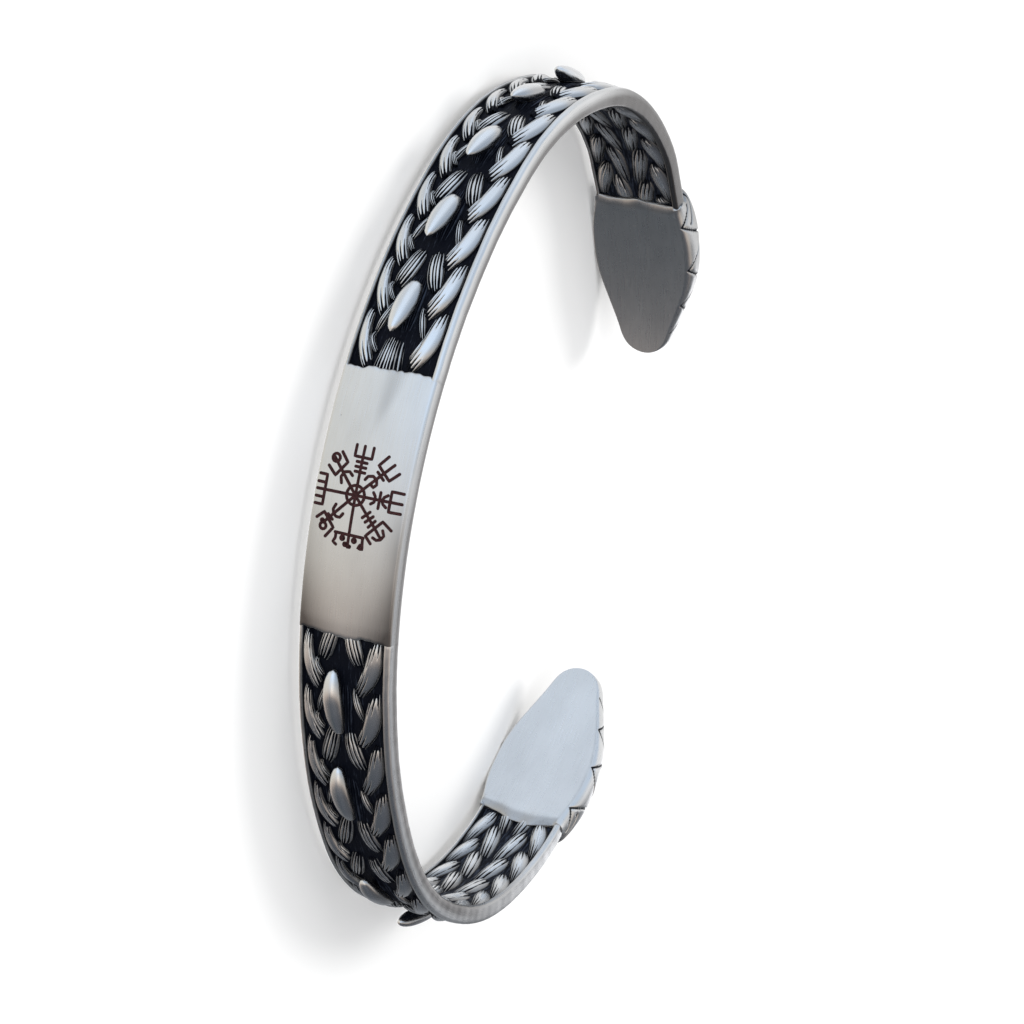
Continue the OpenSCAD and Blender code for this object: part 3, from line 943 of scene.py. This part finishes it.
# Engraved scale lines: [distance from the base in millimetres, share of the way from the inner face to
# the ridge].
SCALES = [[(0.6, 0.3), (2.0, 0.04), (4.3, 0.42), (6.6, 0.04), (8.6, 0.42), (10.4, 0.05), (12.0, 0.42),
           (13.4, 0.08)],
          [(4.3, 0.42), (6.4, 1.0), (8.6, 0.42), (10.6, 1.0), (12.0, 0.42), (13.4, 0.9)],
          [(0.4, 0.45), (2.2, 1.0), (4.3, 0.42)], [(0.4, 0.45), (2.3, 0.2)]]
# Middle of the eye, in the same terms.
EYE = (11.2, 0.62)


def near_lines(a, b, lines):
    """Distance from each point to the nearest stroke."""
    best = np.full(a.shape, 9.0)
    for line in lines:
        for (a0, b0), (a1, b1) in zip(line, line[1:]):
            da, db = a1 - a0, b1 - b0
            u = np.clip(((a - a0) * da + (b - b0) * db) / (da * da + db * db), 0, 1)
            best = np.minimum(best, np.hypot(a - a0 - u * da, b - b0 - u * db))
    return best


class BuildHeads(bpy.types.Operator):
    """Snake heads at both ends, flat inside and domed outside"""
    bl_idname = "ring.heads"
    bl_label = "Heads"

    def execute(self, context):
        size = sizes()
        oval = Oval(size)
        (left, _), (_, right) = ends(size)
        # Name, base, direction, seed and how far the lip bulges over the inner braid.
        heads = (("head_left", left, -1, 1.7, 0.15), ("head_right", right, 1, 4.2, 0.85))
        for name, base, way, seed, bulge in heads:
            t = 0.8 + 0.2 * np.sin(np.linspace(0.02, 1, 60) * math.pi / 2)
            t = np.concatenate([np.linspace(0, 0.8, 200), t])
            width, thick = curve_through(HEAD, t).T
            width = width * np.sqrt(1 - np.clip((t - 0.86) / 0.1402, 0, 1) ** 3.2)
            # Section: flat inner face, a bulging side, then a dome; reach goes from its edge to the ridge.
            low = np.radians(np.linspace(0, 90, 9))[:-1]
            dome = np.radians(np.linspace(0, 90, 64))
            x = np.concatenate([0.87 + 0.13 * np.sin(low), np.cos(dome) ** 0.62])
            far_x = np.concatenate([0.975 + 0.025 * np.sin(low), np.cos(dome) ** 0.62])
            h = np.concatenate([0.34 * (1 - np.cos(low)), 0.34 + 0.66 * np.sin(dome) ** 0.85])
            flat_count = 27
            flat_x = np.linspace(0.84, -0.955, flat_count)
            section_x = np.concatenate([-far_x, x[-2::-1], flat_x])
            section_h = np.concatenate([h, h[-2::-1], np.zeros(flat_count)])
            inside = np.zeros(len(section_x), bool)
            inside[-flat_count:] = True
            ridge_way = np.hypot(np.diff(x) * size.head_w / 2, np.diff(h) * size.head_t)
            out = np.concatenate([[0], np.cumsum(ridge_way)])
            ridge = out[-1]
            share = np.concatenate([out, out[-2::-1], np.zeros(flat_count)]) / ridge
            z = section_x[None, :] * (width * size.head_w / 2)[:, None]
            tall = section_h[None, :] * (size.head_t * thick)[:, None]
            reach = np.broadcast_to(size.head_l * t[:, None], tall.shape)
            climb = np.broadcast_to(share[None, :] * ridge, tall.shape)
            cut = near_lines(reach, climb, [[(a, b * ridge) for a, b in line] for line in SCALES])
            eye = np.hypot(reach - EYE[0], climb - EYE[1] * ridge)
            line = smooth(1.3 - cut / 0.11)
            line = np.maximum(line, smooth(1.3 - np.abs(eye - 0.5) / 0.12)) * ~inside
            # The domed part overhangs the outer braid.
            over = np.clip((tall - size.wall_t) / (size.head_t - size.wall_t), 0, 1)
            back = size.head_lip * ((1 - t) ** 6)[:, None] * np.sin(np.radians(over * 120))
            pillow = 0.03 * smooth(cut / 0.8) * ~inside * smooth(share / 0.1)
            off = (tall - size.wall_t - 0.3 * size.inner_dip - line * 0.09 * smooth(share / 0.15)
                   + pillow + 0.1 * smooth(1.2 - eye / 0.35) * ~inside)
            z = z * (1 - line * 0.03 * (share < 0.5))
            # Uneven raised lip where the inner face meets the braid.
            lip = np.where(inside, smooth(1 - t / 0.085)[:, None], 0)
            ragged = 0.1 * np.sin(z * 1.7 + seed) + 0.05 * np.sin(z * 3.3 + seed)
            ragged = ragged + bulge * smooth(1 - np.abs(z - 0.4) / 3.2)
            along = base + way * (reach - back - lip * (0.15 + ragged))
            # The inner face rolls over into the braid.
            roll = np.where(inside, np.clip(1 - t / 0.06, 0, 1)[:, None] ** 2, 0)
            off = off - lip * 0.1 * (1 + 0.3 * np.sin(z * 2.3 + seed)) + roll * 0.3
            neck = smooth(1 - t / 0.02)[:, None] * np.where(inside, 0.35, 0.15)
            # Painted shade at the lip: a grey roll, with a dark painted crease towards the near rim.
            film_and_painted_shade = np.where(inside, (0.25 + 0.2 * bulge) * rise(t, 0.05, 0.03)[:, None], 0.0)
            crease = smooth(1 - np.abs(t - 0.05) / 0.02)[:, None] * smooth(z) * smooth(3.4 - z)
            neck = neck + 0.35 * bulge * np.where(inside, crease, 0)
            # Painted shade over the outside, as a grey film, heavier on the left head.
            climbed = np.where(inside, 0.0, rise(share, 0.1, 0.5))
            film_and_painted_shade = film_and_painted_shade + climbed[None, :] * (0.45 if way < 0 else 0.3) + 0.22 * (way < 0) * ~inside
            piece = Piece(name)
            piece.grid(oval.at(along, off, z), joined(along, np.where(inside, z + 57, z), off),
                       np.clip(line * 1.1 + neck, 0, 1), 0.0, film_and_painted_shade, closed=True, flip=way > 0, caps=True)
            piece.build(steel_satin())
        return {"FINISHED"}


# Stage

class BuildStage(bpy.types.Operator):
    """Pale floor, soft light and the camera"""
    bl_idname = "ring.stage"
    bl_label = "Stage"

    def execute(self, context):
        scene = context.scene
        # Camera: place and direction fitted to the photo, in millimetres; up is turned by roll.
        spot = Vector((-30.21, -209.22, 93.69))
        ahead = Vector((0.1345, 0.9120, -0.3875))
        up = Vector((-0.9775, 0.0581, -0.2026))
        right = ahead.cross(up).normalized()
        camera = bpy.data.objects.new("camera", bpy.data.cameras.new("camera"))
        scene.collection.objects.link(camera)
        turn = Matrix((right, right.cross(ahead), -ahead.normalized())).transposed()
        camera.matrix_world = Matrix.Translation(spot * MM) @ turn.to_4x4()
        camera.data.sensor_width = 36.0
        camera.data.lens = 100.04
        camera.data.clip_start, camera.data.clip_end = 0.005, 20.0
        scene.camera = camera

        mesh = bpy.data.meshes.new("floor")
        reach = 3.0
        corners = [(-reach, -reach, 0), (reach, -reach, 0), (reach, reach, 0), (-reach, reach, 0)]
        mesh.from_pydata(corners, [], [(0, 1, 2, 3)])
        floor = bpy.data.objects.new("floor", mesh)
        scene.collection.objects.link(floor)
        mesh.materials.append(floor_finish("floor"))
        floor.visible_glossy = False

        self.sky(scene)
        # Name, kind, place in millimetres, size or angle, power, tone and whether the steel mirrors it.
        lamps = [
            ("key", "SUN", (-50, 85, 95), 0.4, 1.3, (1.0, 0.99, 0.97), False),
            ("fill", "AREA", (60, -260, 220), 0.30, 0.3, (0.95, 0.97, 1.0), False),
            ("side", "AREA", (-210, -120, 190), 0.20, 0.15, (1.0, 0.985, 0.96), False),
        ]
        for name, kind, place, side, power, tone, mirrored in lamps:
            lamp = bpy.data.lights.new(name, kind)
            lamp.energy, lamp.color = power, tone
            if kind == "SUN":
                lamp.angle = side
            else:
                lamp.shape, lamp.size = "DISK", side
            obj = bpy.data.objects.new(name, lamp)
            scene.collection.objects.link(obj)
            obj.visible_glossy = mirrored
            obj.location = Vector(place) * MM
            obj.rotation_euler = (-Vector(place)).to_track_quat("-Z", "Y").to_euler()
        scene.view_settings.view_transform = "Standard"
        scene.view_settings.look = "None"
        return {"FINISHED"}

    def sky(self, scene):
        """Studio walls as the steel mirrors them: pale towards -X, dim towards +X, warmer below."""
        world = bpy.data.worlds.new("studio")
        scene.world = world
        world.use_nodes = True
        shader = Shader("studio", world.node_tree)
        parts = shader.node("ShaderNodeSeparateXYZ", None,
                            {0: shader.out(shader.node("ShaderNodeTexCoord"), "Generated")})
        x, y, z = (shader.out(parts, k) for k in range(3))
        across = x * 0.5 + 0.5

        def wall(stops):
            ramp = shader.node("ShaderNodeValToRGB", dict(stops=[(0.5 + 0.5 * p, c) for p, c in stops]),
                               {0: across})
            return shader.out(ramp)

        low = wall([(-1.0, (0.72, 0.78, 0.86)), (-0.7, (0.78, 0.82, 0.86)), (-0.4, (0.93, 0.92, 0.87)),
                    (0.0, (0.88, 0.86, 0.79)), (0.35, (0.82, 0.77, 0.69)), (0.5, (0.66, 0.54, 0.46)),
                    (0.66, (0.25, 0.235, 0.23)), (1.0, (0.07, 0.084, 0.098))])
        high = wall([(-1.0, (0.90, 1.0, 1.13)), (-0.4, (0.96, 1.16, 1.42)), (-0.08, (0.86, 0.96, 1.12)),
                     (0.12, (0.78, 0.81, 0.86)), (0.32, (0.74, 0.68, 0.64)), (0.6, (0.16, 0.168, 0.185)),
                     (1.0, (0.074, 0.088, 0.105))])
        warm = wall([(-1.0, (0.90, 1.0, 1.13)), (-0.4, (0.96, 1.16, 1.42)), (-0.08, (0.95, 1.02, 1.10)),
                     (0.16, (1.25, 1.20, 1.12)), (0.38, (1.20, 1.04, 0.90)), (0.5, (0.50, 0.40, 0.34)),
                     (0.62, (0.17, 0.175, 0.19)), (1.0, (0.09, 0.10, 0.12))])
        back = wall([(-1.0, (0.95, 0.95, 0.95)), (0.0, (1.1, 1.1, 1.1)), (0.08, (1.05, 1.05, 1.06)),
                     (0.15, (0.64, 0.65, 0.67)), (0.21, (0.38, 0.39, 0.42)), (0.28, (0.25, 0.265, 0.29)),
                     (0.4, (0.14, 0.15, 0.165)), (1.0, (0.095, 0.106, 0.12))])
        lower = wall([(-1.0, (0.9, 0.9, 0.9)), (0.05, (1.05, 1.05, 1.05)), (0.16, (1.7, 1.7, 1.72)),
                      (0.24, (2.1, 2.11, 2.15)), (0.29, (1.5, 1.515, 1.54)), (0.33, (0.4, 0.415, 0.44)),
                      (1.0, (0.09, 0.1, 0.115))])
        back = shader.mixed(shader.ranged(z, 0.31, 0.41), lower, back)
        front = shader.mixed(shader.ranged(z, -0.47, -0.28), low, high)
        front = shader.mixed(shader.ranged(z, -0.2, 0.0), front, warm)
        front = shader.mixed(shader.ranged(z, 0.1, 0.6, 0.0, 0.3), front, colour((0.12, 0.13, 0.15)))
        seen = shader.mixed(shader.ranged(y, 0.35, 0.65), front, back)
        shine = shader.node("ShaderNodeBackground", None, {"Color": seen})
        plain = shader.node("ShaderNodeBackground", None, {"Color": (1.0, 1.0, 1.0, 1.0), "Strength": 0.8})
        path = shader.node("ShaderNodeLightPath")
        both = shader.node("ShaderNodeMixShader", None, {
            0: shader.out(path, "Is Glossy Ray"), 1: shader.out(plain), 2: shader.out(shine)})
        shader.node("ShaderNodeOutputWorld", None, {0: shader.out(both)})


class RingPanel(bpy.types.Panel):
    """Lists the steps of the build."""
    bl_idname = "VIEW3D_PT_ring"
    bl_label = "Arm ring"
    bl_space_type = "VIEW_3D"
    bl_region_type = "UI"
    bl_category = "Arm ring"

    def draw(self, context):
        for step in STEPS:
            self.layout.operator(step.bl_idname)
        for group in (context.scene.ring_sizes, context.scene.ring_colours):
            for name in group.bl_rna.properties.keys():
                if name not in ("rna_type", "name"):
                    self.layout.prop(group, name)


STEPS = (BuildStage, BuildBand, BuildBraid, BuildBeads, BuildPlaque, BuildStave, BuildHeads)
CLASSES = (RingSizes, RingColours) + STEPS + (RingPanel,)


def register():
    for item in CLASSES:
        bpy.utils.register_class(item)
    bpy.types.Scene.ring_sizes = bpy.props.PointerProperty(type=RingSizes)
    bpy.types.Scene.ring_colours = bpy.props.PointerProperty(type=RingColours)


def unregister():
    del bpy.types.Scene.ring_colours
    del bpy.types.Scene.ring_sizes
    for item in reversed(CLASSES):
        bpy.utils.unregister_class(item)


def main():
    register()
    bpy.ops.ring.stage()
    bpy.ops.ring.band()
    bpy.ops.ring.braid()
    bpy.ops.ring.beads()
    bpy.ops.ring.plaque()
    bpy.ops.ring.stave()
    bpy.ops.ring.heads()


if __name__ == "__main__":
    main()
